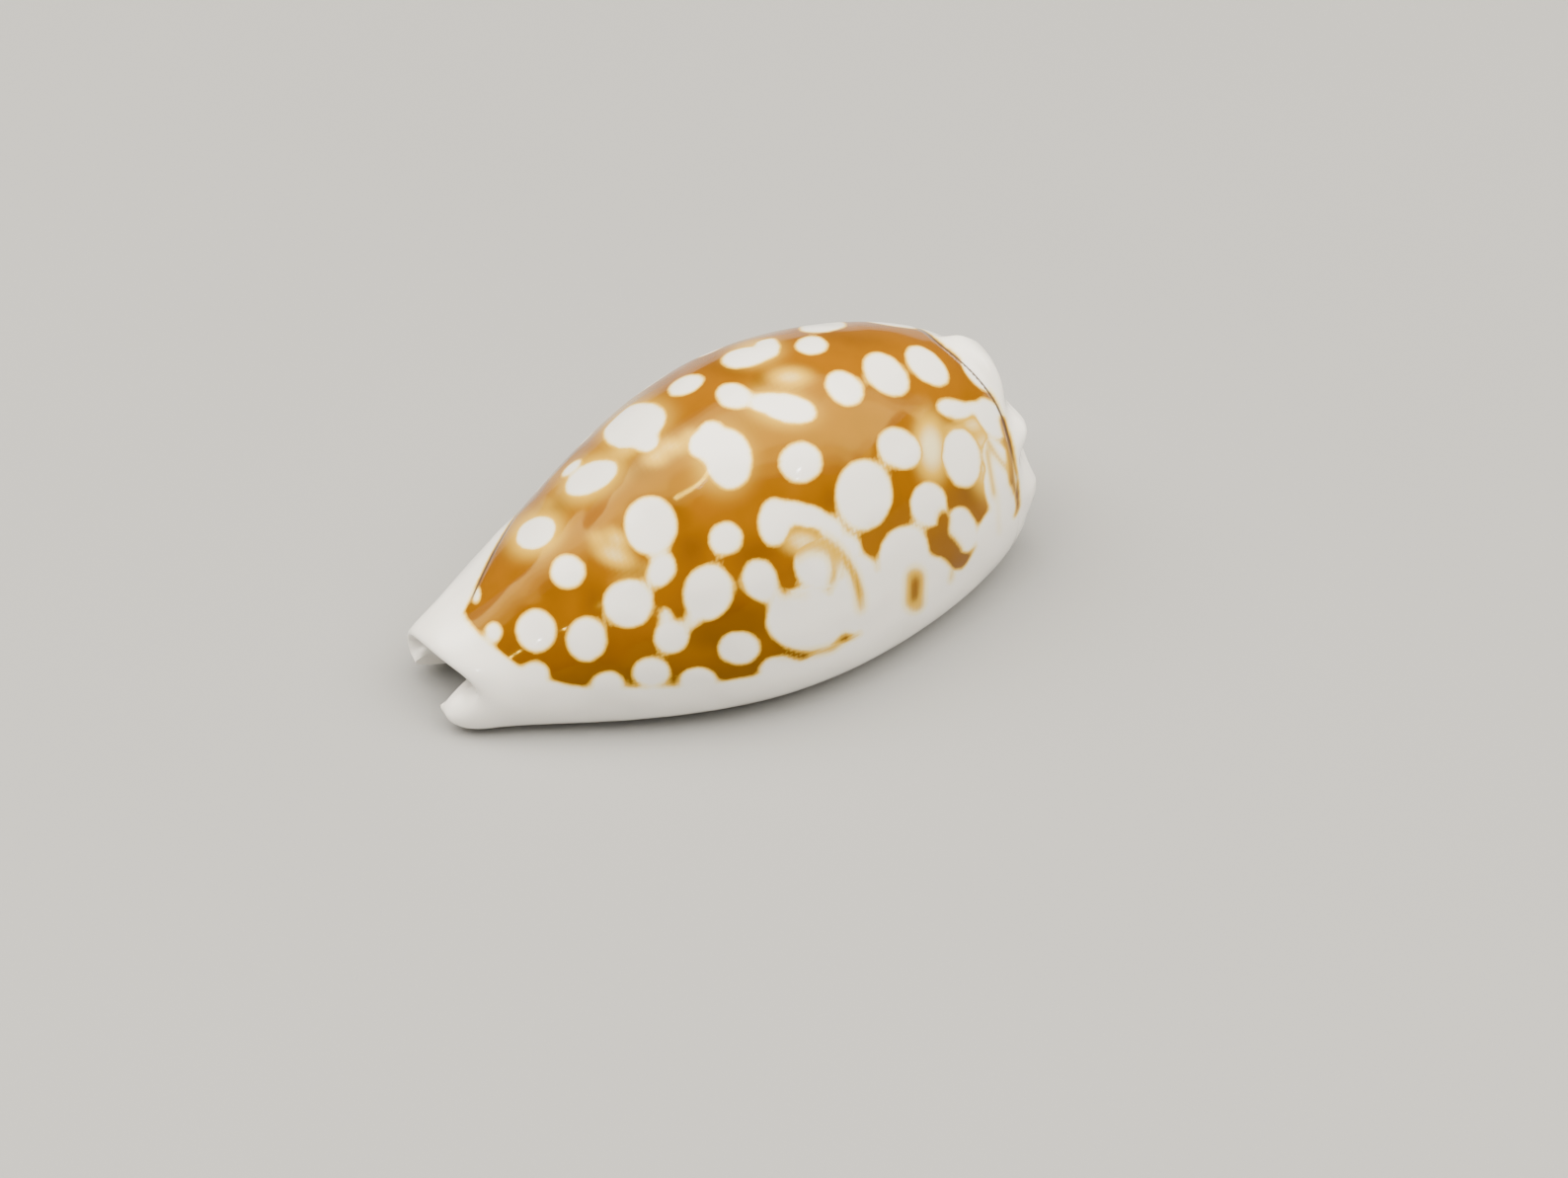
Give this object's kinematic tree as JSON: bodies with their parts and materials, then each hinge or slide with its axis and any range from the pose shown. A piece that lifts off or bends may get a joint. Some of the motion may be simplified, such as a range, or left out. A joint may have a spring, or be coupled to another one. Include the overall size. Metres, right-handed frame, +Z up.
{
  "type": "sieve cowrie shell",
  "caption": "Glossy egg-shaped sea shell with a caramel back, round white spots and white margins, hollow, with a toothed slit along its flat base and a notch at each end.",
  "frame": {"origin": "centre of the bounding box at the level of the flat base", "axes": "+X to the broad rear end, -X to the narrow front end, +Y to the outer lip's side, +Z up from the base to the back"},
  "size_m": [0.0252, 0.014, 0.0112],
  "materials": {
    "enamel": "glossy enamel, caramel with white spots and white margins"
  },
  "bodies": {
    "root": {"shell": "enamel"}
  },
  "joints": []
}
